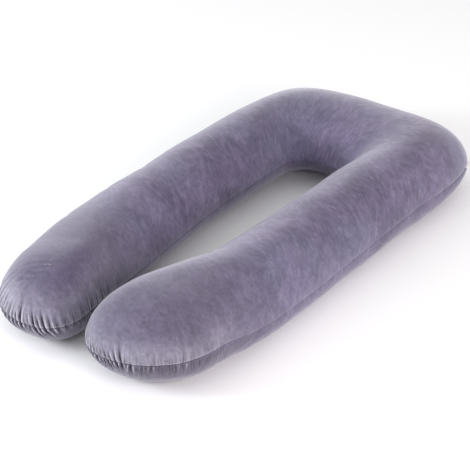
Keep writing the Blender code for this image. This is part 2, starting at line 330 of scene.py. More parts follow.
# painted shade in the valleys of the finest folds
FOLD_SHADE = Fade(-0.20, 0.0, 0.5, 0.0)

# What differs between the two leg ends
ByLeg = namedtuple("ByLeg", "near far")
# how strong the painted shade on the top of each leg end is
TOP_SHADE_SHARE = ByLeg(0.45, 0.90)
PAINTED_LIGHT_MIDDLE = ByLeg(0.09, 0.05)                 # middle of the painted highlight and of the painted shade under the nose, on the seam, from the nose
HIGHLIGHT_UP_TO = ByLeg(0.10, 0.16)
HIGHLIGHT_ALONG_TO = ByLeg(0.38, 0.26)
HIGHLIGHT_SHARE = ByLeg(1.0, 0.7)

# Relief that is too fine for the mesh
Relief = namedtuple("Relief", "strength height")
FOLD_RELIEF = Relief(1.0, 0.012)
STROKE_RELIEF = Relief(0.3, 0.003)
PILE_RELIEF = Relief(0.5, 0.0007)
WEAVE_RELIEF = Relief(0.2, 0.0002)

LABEL_WHITE = "#efeeec"
LABEL_ROUGHNESS = 0.45

# The stage, and the camera as it was fitted to the photograph
FLOOR_SIZE = 40
FLOOR_WHITE = "#fafafa"
FLOOR_ROUGHNESS = 0.9
SKY_STRENGTH = 0.78
Light = namedtuple("Light", "name place size energy colour")
LIGHTS = (
    Light("key", (-2.6, -2.6, 1.3), 1.4, 125, "#f4f8ff"),
    Light("right", (3.2, -1.4, 1.6), 1.6, 95, "#fff6fa"),
)
CAMERA_PLACE = (2.649, -3.204, 2.466)
CAMERA_BEARING = math.radians(39.88)
CAMERA_ELEVATION = math.radians(30.16)
CAMERA_ROLL = math.radians(-2.48)
LENS_MM = 132.8
SENSOR_MM = 36

Lines = namedtuple("Lines", "crest outer inner height seam")    # across the U, one after the other
Cloth = namedtuple("Cloth", "place nap from_seam seam_run drawn_in far_leg")
Layer = namedtuple("Layer", "tint factors blend", defaults=("MIX",))


def squared_circle(angle, power):
    """Points at these bearings on a unit circle that a power over 2 makes squarer."""
    cosine = np.cos(angle)
    sine = np.sin(angle)
    radius = (np.abs(cosine) ** power + np.abs(sine) ** power) ** (-1.0 / power)
    return np.stack((radius * cosine, radius * sine), axis=-1)


def eased(rows, column, along):
    """Read one column of a leg's table at places along it, level at its ends unless it flows on."""
    keys = np.array([row.along for row in rows])
    values = np.array([getattr(row, column) for row in rows])
    slopes = np.zeros(len(rows))
    slopes[1:-1] = (values[2:] - values[:-2]) / (keys[2:] - keys[:-2])
    if column in FLOWING_COLUMNS:
        slopes[0] = (values[1] - values[0]) / (keys[1] - keys[0])
    i = np.clip(np.searchsorted(keys, along, side="right") - 1, 0, len(rows) - 2)
    span = keys[i + 1] - keys[i]
    t = (along - keys[i]) / span
    start = (2 * t**3 - 3 * t**2 + 1) * values[i] + (t**3 - 2 * t**2 + t) * span * slopes[i]
    end = (3 * t**2 - 2 * t**3) * values[i + 1] + (t**3 - t**2) * span * slopes[i + 1]
    return start + end


def leg_lines(rows, side):
    """Lines across one leg from its end to the shoulder; side is +1 at +X and -1 at -X."""
    t = np.linspace(0, 1, LEG_LINES + 1)
    along = t * (1 - LINE_GRADING) + LINE_GRADING * t**2
    y = LEG_END_Y + (SHOULDER_Y - LEG_END_Y) * along
    places = [np.stack((side * eased(rows, name, along), y), -1) for name in ("crest", "outer", "inner")]
    return Lines(*places, eased(rows, "height", along), eased(rows, "seam", along))


def closed_end_lines():
    """Lines across the closed end between the shoulders, from -X round to +X."""
    bearing = np.linspace(math.pi, 0, CLOSED_END_LINES + 1)[1:-1]
    corner = squared_circle(bearing, CORNER_POWER)
    outer_y = SHOULDER_Y + (CLOSED_END_Y - SHOULDER_Y) * corner[:, 1]
    outer = np.stack((HALF_WIDTH * corner[:, 0], outer_y), -1)
    slot = np.stack((SLOT_HALF_WIDTH * np.cos(bearing), (SLOT_END_Y - SHOULDER_Y) * np.sin(bearing)), -1)
    inner = slot + (0, SHOULDER_Y)
    height = SHOULDER.height + (CLOSED_END_HEIGHT - SHOULDER.height) * np.sin(bearing)
    return Lines((outer + inner) / 2, outer, inner, height, np.full(len(bearing), SHOULDER.seam))


def all_lines():
    """Lines across the whole U, from the far leg's end round to the near leg's end."""
    near = Lines(*[column[::-1] for column in leg_lines(NEAR_LEG, 1)])
    parts = (leg_lines(FAR_LEG, -1), closed_end_lines(), near)
    return Lines(*[np.concatenate(columns) for columns in zip(*parts)])


def grid_bearings(lines):
    """For each grid point: its line, turn round a leg's end, and share of the way out to the seam.

    A leg's end is a half square bent into the half circle of its outline, so no point has more
    than four quads. Turn is 0 on the outer side of the U and pi on the inner side.
    """
    u = 1 - 2 * np.arange(ACROSS + 1) / ACROSS
    size = np.abs(u)
    count = len(lines.height)
    straight = np.tile(np.where(u >= 0, 0.0, math.pi), (count, 1))
    v = np.arange(1, END_LINES + 1)[:, None] / END_LINES
    side = math.pi / 4 * v / np.maximum(size, TINY)
    side = np.where(u >= 0, side, math.pi - side)
    tip = math.pi / 2 - math.pi / 4 * u / v
    end_turn = np.where(size >= v, side, tip)
    end_out = np.maximum(size, v)
    turn = np.concatenate((end_turn[::-1], straight, end_turn))
    out = np.concatenate((end_out[::-1], np.tile(size, (count, 1)), end_out))
    line = np.concatenate((np.zeros(END_LINES), np.arange(count), np.full(END_LINES, count - 1)))
    return line.astype(int), turn, out


def side_slope(rows, column):
    """How far a leg's side moves out for each metre along the leg, at its end."""
    first, second = rows[:2]
    rise = getattr(second, column) - getattr(first, column)
    return rise / ((second.along - first.along) * (SHOULDER_Y - LEG_END_Y))


def seam_edges(lines, line, turn):
    """Where each grid point's own half section meets the seam, in plan.

    Round a leg's end the sides carry on with their own slope while they close in on the nose.
    """
    far = (line < len(lines.height) // 2)[:, None]
    outer_side = turn < math.pi / 2

    def choose(far_outer, far_inner, near_outer, near_inner):
        on_outer = np.where(far, far_outer, near_outer)
        return np.where(outer_side, on_outer, np.where(far, far_inner, near_inner))

    power = choose(FAR_END.outer_power, FAR_END.inner_power, NEAR_END.outer_power, NEAR_END.inner_power)
    slope = choose(-side_slope(FAR_LEG, "outer"), -side_slope(FAR_LEG, "inner"),
                   side_slope(NEAR_LEG, "outer"), side_slope(NEAR_LEG, "inner"))
    round_point = squared_circle(turn, power)
    depth = np.where(far, FAR_END.depth, NEAR_END.depth) * round_point[..., 1]
    flow = np.stack((slope * depth, np.zeros_like(depth)), -1)
    crest = lines.crest[line][:, None]
    side = np.where(outer_side[..., None], lines.outer[line][:, None], lines.inner[line][:, None])
    edge = crest + (side - flow - crest) * np.abs(round_point[..., :1])
    edge[..., 1] -= depth
    return edge


def half_girth(lines, line, width, height, upper):
    """Length of cloth from the crest, or from the middle of the underside, out to the seam.

    That is a quarter of the way round an ellipse, near enough.
    """
    seam = lines.seam[line][:, None]
    rise = height * (1 - seam) if upper else height * seam
    return math.pi / 2 * np.sqrt((width**2 + rise**2) / 2)


def panel_points(lines, upper):
    """One panel's grid: filled places, flat sewing pattern, nap coordinates, distance from the seam."""
    line, turn, out = grid_bearings(lines)
    edge = seam_edges(lines, line, turn)
    crest = lines.crest[line][:, None]
    graded = out + SEAM_GRADING * np.sin(math.pi * out) / math.pi
    theta = math.pi / 2 * (1 - graded)
    power = UPPER_POWER if upper else LOWER_POWER + LOWER_LEAN * np.cos(turn)
    share = np.cos(theta).clip(0) ** (2 / power)
    level = np.sin(theta).clip(0) ** (2 / power)
    plan = crest + (edge - crest) * share[..., None]
    height = lines.height[line][:, None] * (1 - LEG_END_DROP * np.sin(turn) * out**2)
    seam = lines.seam[line][:, None]
    if upper:
        z = height * (seam + (1 - seam) * level)
    else:
        z = np.maximum(height * seam - (height * seam + UNDERSIDE_DEPTH) * level, 0.0)
    places = np.concatenate((plan, z[..., None]), -1)

    width = np.linalg.norm(edge - crest, axis=-1)
    girth = half_girth(lines, line, width, height, upper)
    flat = half_girth(lines, line, width, height, False)
    ridge = np.sqrt(np.maximum(girth**2 - flat**2, 0)) * (1 - graded)
    pattern_plan = crest + (edge - crest) * (graded * flat / width)[..., None]
    pattern = np.concatenate((pattern_plan, ridge[..., None]), -1)

    steps = np.linalg.norm(np.diff(lines.crest, axis=0), axis=-1)
    run = np.concatenate(((0,), np.cumsum(steps)))[line][:, None]
    from_end = np.minimum(run, run.max() - run)
    flatness = np.interp(from_end, PATTERN_FADE, (1.0, 0.0))[..., None]
    pattern = pattern * flatness + places * (1 - flatness)
    outwards = np.where(line == 0, -1.0, 1.0)[:, None]
    from_crest = girth * graded
    nap = np.stack((run + outwards * from_crest * np.sin(turn), from_crest * np.cos(turn)), -1)
    return places, pattern, nap, girth * (1 - graded)


def seam_run(lines):
    """Metres round the outline from the nose of the point's own leg, positive on the outer side."""
    line, turn, _ = grid_bearings(lines)
    fine = np.linspace(0, math.pi, ARC_STEPS)
    run = np.zeros(turn.shape)
    middle = len(lines.height) // 2
    for end, mine in ((0, line < middle), (len(lines.height) - 1, line >= middle)):
        arc = seam_edges(lines, np.full(1, end), fine[None])[0]
        lengths = np.concatenate(((0,), np.cumsum(np.linalg.norm(np.diff(arc, axis=0), axis=-1))))
        nose = np.interp(math.pi / 2, fine, lengths)
        run[mine] = nose - np.interp(turn[mine], fine, lengths)
        for side, sign in ((lines.outer, 1), (lines.inner, -1)):
            travelled = np.concatenate(((0,), np.cumsum(np.linalg.norm(np.diff(side, axis=0), axis=-1))))
            away = np.abs(travelled - travelled[end])[line][mine][:, None]
            on_side = np.cos(turn[mine]) * sign > 0
            run[mine] += np.where(on_side, sign * away, 0)
    return run


def cushion_mesh(lines):
    """The cushion's outer skin: two grids of quads that share the vertices on the seam."""
    top, top_pattern, top_nap, top_gap = panel_points(lines, True)
    low, low_pattern, low_nap, low_gap = panel_points(lines, False)
    rows, columns = top.shape[:2]
    top_id = np.arange(rows * columns).reshape(rows, columns)
    low_id = top_id.copy()
    inside = (slice(1, -1), slice(1, -1))
    inner = (rows - 2, columns - 2)
    low_id[inside] = rows * columns + np.arange(inner[0] * inner[1]).reshape(inner)
    points = np.concatenate((top.reshape(-1, 3), low[inside].reshape(-1, 3)))
    pattern = np.concatenate((top_pattern.reshape(-1, 3), low_pattern[inside].reshape(-1, 3)))

    def quads(grid, turned):
        corners = [grid[:-1, :-1], grid[:-1, 1:], grid[1:, 1:], grid[1:, :-1]]
        if turned:
            corners.reverse()
        return np.stack(corners, axis=2).reshape(-1, *grid.shape[2:])

    faces = np.concatenate((quads(top_id, False).reshape(-1, 4), quads(low_id, True).reshape(-1, 4)))
    mesh = bpy.data.meshes.new("velvet_cushion")
    mesh.from_pydata(points.tolist(), [], faces.tolist())
    lower = np.arange(len(faces)) >= len(faces) // 2
    mesh.polygons.foreach_set("material_index", lower.astype(np.int32))
    nap = mesh.uv_layers.new(name="nap")
    corner_nap = (quads(top_nap, False).reshape(-1, 2), quads(low_nap, True).reshape(-1, 2))
    nap.data.foreach_set("uv", np.concatenate(corner_nap).ravel())

    run = seam_run(lines)
    far = np.broadcast_to(top[..., 0] < 0, top_id.shape)
    layers = {
        "from_seam": np.concatenate((top_gap.ravel(), -low_gap[inside].ravel())),
        "seam_run": np.concatenate((run.ravel(), run[inside].ravel())),
        "far_leg": np.concatenate((far.ravel(), far[inside].ravel())).astype(float),
    }
    for name, values in layers.items():
        mesh.attributes.new(name, "FLOAT", "POINT").data.foreach_set("value", values)
    seam_loop = np.concatenate((top_id[:, 0], top_id[-1, 1:], top_id[-2::-1, -1], top_id[0, -2:0:-1]))
    return mesh, pattern, seam_loop


def read(mesh, what="co"):
    """Vertex places, or their normals, as one array."""
    values = np.empty(len(mesh.vertices) * 3)
    source = mesh.vertices if what == "co" else mesh.vertex_normals
    source.foreach_get("co" if what == "co" else "vector", values)
    return values.reshape(-1, 3)


def write(mesh, points):
    """Move the vertices to these places."""
    mesh.vertices.foreach_set("co", points.ravel())
    mesh.update()


def read_attribute(mesh, name):
    """One value for each vertex, such as its distance from the seam."""
    values = np.empty(len(mesh.vertices))
    mesh.attributes[name].data.foreach_get("value", values)
    return values


def add_group(obj, name, weights):
    """A vertex group with these weights, from 0 to 1."""
    group = obj.vertex_groups.new(name=name)
    steps = np.round(weights * WEIGHT_STEPS).astype(int)
    for step in np.unique(steps[steps > 0]):
        group.add(np.flatnonzero(steps == step).tolist(), step / WEIGHT_STEPS, "REPLACE")


def fill_cushion(obj, pattern, seam_loop):
    """Blow the cushion up as cloth whose seam is pulled short, then keep the result."""
    mesh = obj.data
    start = read(mesh)
    run = np.abs(read_attribute(mesh, "seam_run"))
    held = np.clip(1 - start[:, 2] / FLOOR_HOLD, FILLING_HOLD, 1)
    sewn = np.zeros(len(start))
    sewn[seam_loop] = np.interp(run[seam_loop], SEWN_PLACES, SEWN_SHARES)
    add_group(obj, "held", held)
    add_group(obj, "sewn", sewn)
    obj.shape_key_add(name="filled")
    cut = obj.shape_key_add(name="cut pattern")
    cut.data.foreach_set("co", pattern.ravel())

    cloth = obj.modifiers.new("filling", "CLOTH")
    settings = cloth.settings
    for name, value in CLOTH_SETTINGS.items():
        setattr(settings, name, value)
    settings.shrink_max = SEAM_SHRINK
    settings.vertex_group_shrink = "sewn"
    settings.vertex_group_mass = "held"
    settings.rest_shape_key = cut
    settings.effector_weights.gravity = 0
    cloth.collision_settings.use_collision = False
    cloth.point_cache.frame_start = 1
    cloth.point_cache.frame_end = LAST_FRAME
    scene = bpy.context.scene
    for step in range(1, LAST_FRAME + 1):
        scene.frame_set(step)
    graph = bpy.context.evaluated_depsgraph_get()
    filled = read(obj.evaluated_get(graph).data)
    obj.modifiers.remove(cloth)
    obj.shape_key_clear()
    scene.frame_set(1)

    move = filled - start
    length = np.linalg.norm(move, axis=1, keepdims=True)
    move *= np.minimum(1, MOST_MOVE / np.maximum(length, TINY))
    settled = start + move
    settled[:, 2] = settled[:, 2].clip(0)
    write(mesh, settled)


def refine(obj):
    """Subdivide the cloth once and keep its attributes."""
    coarse = obj.data
    finer = obj.modifiers.new("finer", "SUBSURF")
    finer.levels = 1
    finer.render_levels = 1
    graph = bpy.context.evaluated_depsgraph_get()
    filled = obj.evaluated_get(graph)
    obj.data = bpy.data.meshes.new_from_object(filled, preserve_all_data_layers=True, depsgraph=graph)
    obj.modifiers.remove(finer)
    obj.vertex_groups.clear()
    bpy.data.meshes.remove(coarse)


def crease_profile(across, power):
    """A crease's depth at this many widths from its middle, with the bulge beside it."""
    valley = np.exp(-across**power)
    return valley - BULGE_HEIGHT * np.exp(-((across - BULGE_PLACE) / BULGE_WIDTH) ** 2)


def gather_depth(gathers, run, gap):
    """How deep these gathers draw the cloth in at each place."""
    depth = np.zeros(len(run))
    for gather in gathers:
        reach = np.where(gap > 0, gather.above, gather.below)
        width = gather.width * (1 + np.abs(gap) / GATHER_SPREAD)
        across = np.abs(run - gather.at - gather.slant * gap) / width
        fade = np.exp(-(np.abs(gap) / reach) ** GATHER_END_POWER)
        depth += gather.depth * crease_profile(across, GATHER_POWER) * fade
    return depth


def crease_depth(creases, run, gap):
    """How deep these soft creases draw the upper panel in at each place."""
    depth = np.zeros(len(run))
    for crease in creases:
        turn = math.radians(crease.turn)
        along = (run - crease.at) * math.cos(turn) + (gap - crease.above) * math.sin(turn)
        across = (gap - crease.above) * math.cos(turn) - (run - crease.at) * math.sin(turn)
        share = 2 * along / crease.length
        across = across - crease.bend * share**2
        depth += crease.depth * np.exp(-(across / crease.width) ** 2 - share**4)
    return depth


def top_crease_depth(plan, gap):
    """How deep the fine creases on the far leg's end draw the upper panel in at each place."""
    depth = np.zeros(len(plan))
    for crease in TOP_CREASES:
        start, end = np.array((crease.start, crease.end))
        half = (end - start) / 2
        length = np.linalg.norm(half)
        from_middle = plan - start - half
        along = from_middle @ half / length**2
        across = np.abs(from_middle @ (-half[1], half[0])) / (length * TOP_CREASE_WIDTH)
        depth += crease.depth * crease_profile(across, 2) * np.exp(-along**4)
    return depth * (gap > 0)


def unevenness(places):
    """Height of the filling's lumps and dimples at each place."""
    lumps = [noise.noise(Vector(place) / LUMP_SIZE) for place in places]
    dimples = [noise.noise(Vector(place) / DIMPLE_SIZE) for place in places]
    return LUMP_HEIGHT * np.array(lumps) + DIMPLE_HEIGHT * np.array(dimples)


def shape_cloth(mesh):
    """Move the refined cloth in and out: gathers, creases, the seam's groove and the lumps."""
    places = read(mesh)
    run = read_attribute(mesh, "seam_run")
    gap = read_attribute(mesh, "from_seam")
    far = read_attribute(mesh, "far_leg") > 0.5
    gathered = np.zeros(len(places))
    creased = np.zeros(len(places))
    for mine, gathers, creases in ((far, FAR_GATHERS, FAR_CREASES), (~far, NEAR_GATHERS, NEAR_CREASES)):
        gathered[mine] = gather_depth(gathers, run[mine], gap[mine])
        creased[mine] = crease_depth(creases, run[mine], gap[mine])
    gathered *= GATHER_STRENGTH * (1 - THREAD_HOLD * np.exp(-(gap / THREAD_REACH) ** 2))
    gathered += top_crease_depth(places[:, :2], gap)
    drawn_in = gathered / FULL_GATHER - creased / FULL_CREASE
    mesh.attributes.new("drawn_in", "FLOAT", "POINT").data.foreach_set("value", drawn_in)
    depth = gathered + creased
    pull = np.interp(np.abs(run), END_REACH, (1.0, SEAM_REST))
    depth += SEAM_DEPTH * pull * np.exp(-np.abs(gap) / SEAM_REACH)
    depth -= LIP_HEIGHT * pull * np.exp(-(gap / LIP_REACH) ** 2)
    off_floor = np.clip(places[:, 2] / FLOOR_FADE, 0, 1)
    offset = (unevenness(places) - depth) * off_floor
    places += offset[:, None] * read(mesh, "normal")
    places[:, 2] = places[:, 2].clip(0)
    write(mesh, places)


def make_cushion():
    """The whole cushion: laid out, filled, refined and shaped, in the part's own frame."""
    mesh, pattern, seam_loop = cushion_mesh(all_lines())
    obj = bpy.data.objects.new("velvet_cushion", mesh)
    bpy.context.scene.collection.objects.link(obj)
    fill_cushion(obj, pattern, seam_loop)
    refine(obj)
    shape_cloth(obj.data)
    write(obj.data, read(obj.data) + CENTRING)
    obj.data.shade_smooth()
    return obj


def make_label():
    """The blank ribbon, folded in half, with both ends caught in the seam."""
    upper = [(x, z + RIBBON_HALF_GAP) for x, z in RIBBON_HALF]
    lower = [(x, -z - RIBBON_HALF_GAP) for x, z in RIBBON_HALF[::-1]]
    angles = np.linspace(BEND_START, math.pi - BEND_START, BEND_POINTS)
    bend = [(RIBBON_FOLD + BEND_DEPTH * math.sin(a), BEND_HEIGHT * math.cos(a)) for a in angles]
    path = upper + bend + lower
    columns = LABEL_STRIPS + 1
    widths = np.linspace(-LABEL_WIDTH / 2, LABEL_WIDTH / 2, columns)
    points = []
    for x, z in path:
        for y in widths:
            sag = LABEL_SAG * x * (y / LABEL_WIDTH) ** 2
            points.append((x, y, z - sag))
    faces = []
    for i in range(len(path) - 1):
        for j in range(columns - 1):
            corner = i * columns + j
            faces.append((corner, corner + columns, corner + columns + 1, corner + 1))
    mesh = bpy.data.meshes.new("folded_label")
    mesh.from_pydata(points, [], faces)
    turn = Matrix.Rotation(LABEL_HEADING, 4, "Z") @ Matrix.Rotation(LABEL_DROOP, 4, "Y")
    mesh.transform(Matrix.Translation(LABEL_PLACE) @ turn)
    mesh.shade_smooth()
    obj = bpy.data.objects.new("folded_label", mesh)
    bpy.context.scene.collection.objects.link(obj)
    ribbon = obj.modifiers.new("ribbon", "SOLIDIFY")
    ribbon.thickness = LABEL_THICKNESS
    ribbon.offset = -1
    return obj


def hex_colour(code):
    """Linear RGBA of an sRGB hex value."""
    shares = [int(code[i:i + 2], 16) / 255 for i in (1, 3, 5)]
    return [s / 12.92 if s <= 0.04045 else ((s + 0.055) / 1.055) ** 2.4 for s in shares] + [1.0]


def new_material(name):
    """A material and its Principled shader."""
    material = bpy.data.materials.new(name)
    material.use_nodes = True
    return material, material.node_tree.nodes["Principled BSDF"]


def fill_inputs(material, node, inputs):
    """Give each named or numbered input its value, or a link from another node's output."""
    for key, value in inputs.items():
        if isinstance(value, bpy.types.NodeSocket):
            material.node_tree.links.new(value, node.inputs[key])
        else:
            node.inputs[key].default_value = value


def add_node(material, kind, inputs=(), **settings):
    """Add one shader node and return its outputs; inputs go by name or number, or in order."""
    node = material.node_tree.nodes.new("ShaderNode" + kind)
    for name, value in settings.items():
        setattr(node, name, value)
    if not isinstance(inputs, dict):
        inputs = dict(enumerate(inputs))
    fill_inputs(material, node, inputs)
    return node.outputs


def per_metre(millimetres):
    """Noise scale for features of this size."""
    return 1000 / millimetres


def read_cloth(node):
    """What the velvet's tones follow: its place, the pile's own map and the cloth's attributes."""
    place = node("TexCoord")["Object"]
    nap = node("UVMap", uv_map="nap")["UV"]
    names = ("from_seam", "seam_run", "drawn_in", "far_leg")
    return Cloth(place, nap, *[node("Attribute", attribute_name=name)["Fac"] for name in names])


def wandering_nap(node, cloth):
    """The pile's own map, bent so that strokes laid on it wander."""
    inputs = {"Vector": cloth.place, "Scale": per_metre(DRIFT_MM), "Detail": 1.0}
    drift = node("TexNoise", inputs)["Color"]
    drift = node("VectorMath", (drift, (NOISE_MIDDLE,) * 3), operation="SUBTRACT")["Vector"]
    drift = node("VectorMath", {0: drift, "Scale": STROKE_DRIFT}, operation="SCALE")["Vector"]
    return node("VectorMath", (cloth.nap, drift), operation="ADD")["Vector"]


def brushed_strokes(node, curved):
    """Three patterns of long strokes, one for each way in which the pile was brushed."""
    strokes = []
    for stroke in STROKES:
        rotation = (0, 0, math.radians(stroke.turn))
        turned = node("Mapping", {"Vector": curved, "Rotation": rotation})["Vector"]
        scale = (per_metre(stroke.length), per_metre(stroke.width), 1)
        drawn = node("Mapping", {"Vector": turned, "Scale": scale})["Vector"]
        inputs = {"Vector": drawn, "Scale": 1.0, "Detail": 2.0, "Distortion": 0.3}
        strokes.append(node("TexNoise", inputs)["Fac"])
    return strokes


def brushed_layers(node, cloth, strokes):
    """Brushing leaves cooler patches, and thin light lines between the strokes."""
    cool = node("TexNoise", {"Vector": cloth.place, "Scale": per_metre(COOL_MM), "Detail": 3.0})["Fac"]
    cool = node("MapRange", (cool, *COOL_TONE), interpolation_type="SMOOTHSTEP")[0]
    line = node("Math", (strokes[2], NOISE_MIDDLE), operation="SUBTRACT")[0]
    line = node("Math", (line,), operation="ABSOLUTE")[0]
    line = node("MapRange", (line, *LINE_TONE), interpolation_type="SMOOTHSTEP")[0]
    breaks = node("MapRange", (strokes[0], *LINE_BREAKS), interpolation_type="SMOOTHSTEP")[0]
    return [Layer(hex_colour(VELVET_COOL), (cool,)), Layer(hex_colour(VELVET_PALE_PILE_AND_HIGHLIGHT), (line, breaks))]


def lying_pile_and_painted_light_layers(node, cloth, from_painted_light_middle):
    """Below the seam the lower panel is darker, partly as its pile lies down and partly as painted
    shade. Towards the legs' ends a painted sheen greys the pile, and painted shade darkens the tops of
    the ends.
    """
    y = node("SeparateXYZ", (cloth.place,))["Y"]
    towards_end = node("MapRange", (y, *LEG_END_IN_Y), interpolation_type="SMOOTHSTEP")[0]
    below = node("MapRange", (cloth.from_seam, *LYING_PILE_AND_SHADE), interpolation_type="SMOOTHSTEP")[0]
    at_ends = node("Math", (towards_end, LYING_PILE_AND_SHADE_LEAST), operation="MAXIMUM")[0]
    under_nose = node("MapRange", (from_painted_light_middle, *UNDER_NOSE), interpolation_type="SMOOTHSTEP")[0]
    on_top = node("MapRange", (cloth.from_seam, *TOP_SHADE), interpolation_type="SMOOTHSTEP")[0]
    darker = node("MapRange", (cloth.far_leg, 0.0, 1.0, *TOP_SHADE_SHARE))[0]
    return [
        # painted shade below the seam, where the pile also lies down
        Layer(hex_colour(VELVET_LOW), (below, at_ends, under_nose)),
        # painted sheen that greys the pile towards the legs' ends
        Layer(hex_colour(VELVET_PAINTED_SHEEN), (towards_end, PAINTED_SHEEN_SHARE)),
        # painted shade on the tops of the leg ends
        Layer(hex_colour(VELVET_DARK_TONE_AND_SHADE), (on_top, towards_end, darker)),
    ]


def painted_highlight_layers(node, cloth, patches, from_painted_light_middle, at_end):
    """Painted highlights above the seam: a thin line over the groove, a wider zone on the front of the
    leg ends and one brightest spot.
    """
    gap = cloth.from_seam
    rise = node("MapRange", (gap, *SEAM_HIGHLIGHT_RISE), interpolation_type="SMOOTHSTEP")[0]
    fall = node("MapRange", (gap, *SEAM_HIGHLIGHT_FALL), interpolation_type="SMOOTHSTEP")[0]
    above = node("MapRange", (gap, *ABOVE_SEAM), interpolation_type="SMOOTHSTEP")[0]
    up_to = node("MapRange", (cloth.far_leg, 0.0, 1.0, *HIGHLIGHT_UP_TO))[0]
    inputs = (gap, HIGHLIGHT_UP_FROM, up_to, 1.0, 0.0)
    below_top = node("MapRange", inputs, interpolation_type="SMOOTHSTEP")[0]
    along_to = node("MapRange", (cloth.far_leg, 0.0, 1.0, *HIGHLIGHT_ALONG_TO))[0]
    inputs = (from_painted_light_middle, HIGHLIGHT_ALONG_FROM, along_to, 1.0, 0.0)
    beside = node("MapRange", inputs, interpolation_type="SMOOTHSTEP")[0]
    uneven = node("MapRange", (patches, *HIGHLIGHT_PATCHES), interpolation_type="SMOOTHSTEP")[0]
    share = node("MapRange", (cloth.far_leg, 0.0, 1.0, *HIGHLIGHT_SHARE))[0]
    spot = node("VectorMath", (cloth.place, HIGHLIGHT_SPOT_PLACE), operation="DISTANCE")["Value"]
    spot = node("MapRange", (spot, *HIGHLIGHT_SPOT), interpolation_type="SMOOTHSTEP")[0]
    return [
        # painted highlight just above the seam's groove
        Layer(hex_colour(VELVET_PALE_PILE_AND_HIGHLIGHT), (rise, fall, at_end)),
        # painted highlight above the seam on the front of the leg ends
        Layer(hex_colour(VELVET_PALE_PILE_AND_HIGHLIGHT), (above, below_top, beside, uneven, share)),
        # the brightest painted highlight, round one spot
        Layer(hex_colour(VELVET_PALE_PILE_AND_HIGHLIGHT), (spot, above)),
    ]


def marked_layers(node, cloth, curved, away, at_end):
    """Painted shade in the seam's groove, crushed and smudged pile, and on each gather a painted
    highlight on its bulge and painted shade inside it.
    """
    groove_shade = node("MapRange", (away, *SEAM_GROOVE_SHADE), interpolation_type="SMOOTHSTEP")[0]
    held = node("Math", (at_end, SEAM_GROOVE_SHADE_LEAST), operation="MAXIMUM")[0]
    rotation = (0, 0, math.radians(CRUSHED_TURN))
    turned = node("Mapping", {"Vector": curved, "Rotation": rotation})["Vector"]
    scale = (per_metre(CRUSHED_MM[0]), per_metre(CRUSHED_MM[1]), 1)
    drawn = node("Mapping", {"Vector": turned, "Scale": scale})["Vector"]
    crushed = node("TexNoise", {"Vector": drawn, "Scale": 1.0, "Detail": 3.0, "Roughness": 0.7})["Fac"]
    crushed = node("MapRange", (crushed, *CRUSHED_TONE), interpolation_type="SMOOTHSTEP")[0]
    smudged = node("TexNoise", {"Vector": cloth.place, "Scale": per_metre(SMUDGE_MM), "Detail": 4.0,
                                "Roughness": 0.8})["Fac"]
    smudged = node("MapRange", (smudged, *SMUDGE_TONE), interpolation_type="SMOOTHSTEP")[0]
    worked = node("Math", (crushed, smudged), operation="MULTIPLY")[0]
    ridge = node("MapRange", (cloth.drawn_in, *RIDGE_HIGHLIGHT), interpolation_type="SMOOTHSTEP")[0]
    hollow = node("MapRange", (cloth.drawn_in, *HOLLOW_SHADE), interpolation_type="SMOOTHSTEP")[0]
    return [
        # painted shade in the seam's groove
        Layer(hex_colour(VELVET_CREVICE_SHADE), (groove_shade, held)),
        Layer(worked, (1.0,), "MULTIPLY"),
        # painted highlight on the bulges beside the gathers
        Layer(hex_colour(VELVET_RIDGE_HIGHLIGHT), (ridge,)),
        # painted shade inside the gathers
        Layer(hex_colour(VELVET_CREVICE_SHADE), (hollow,)),
    ]


def finest_folds(node, cloth, away, at_end):
    """The finest folds beside the seam, which run along the gathers round a leg's end."""
    across = node("Math", (cloth.seam_run, per_metre(FOLD_MM[0])), operation="MULTIPLY")[0]
    along = node("Math", (cloth.from_seam, per_metre(FOLD_MM[1])), operation="MULTIPLY")[0]
    laid = node("CombineXYZ", (across, along))["Vector"]
    folds = node("TexNoise", {"Vector": laid, "Scale": 1.0, "Detail": 1.5})["Fac"]
    folds = node("Math", (folds, NOISE_MIDDLE), operation="SUBTRACT")[0]
    reach = node("MapRange", (away, *FOLD_REACH), interpolation_type="SMOOTHSTEP")[0]
    reach = node("Math", (reach, at_end), operation="MULTIPLY")[0]
    return node("Math", (folds, reach), operation="MULTIPLY")[0]


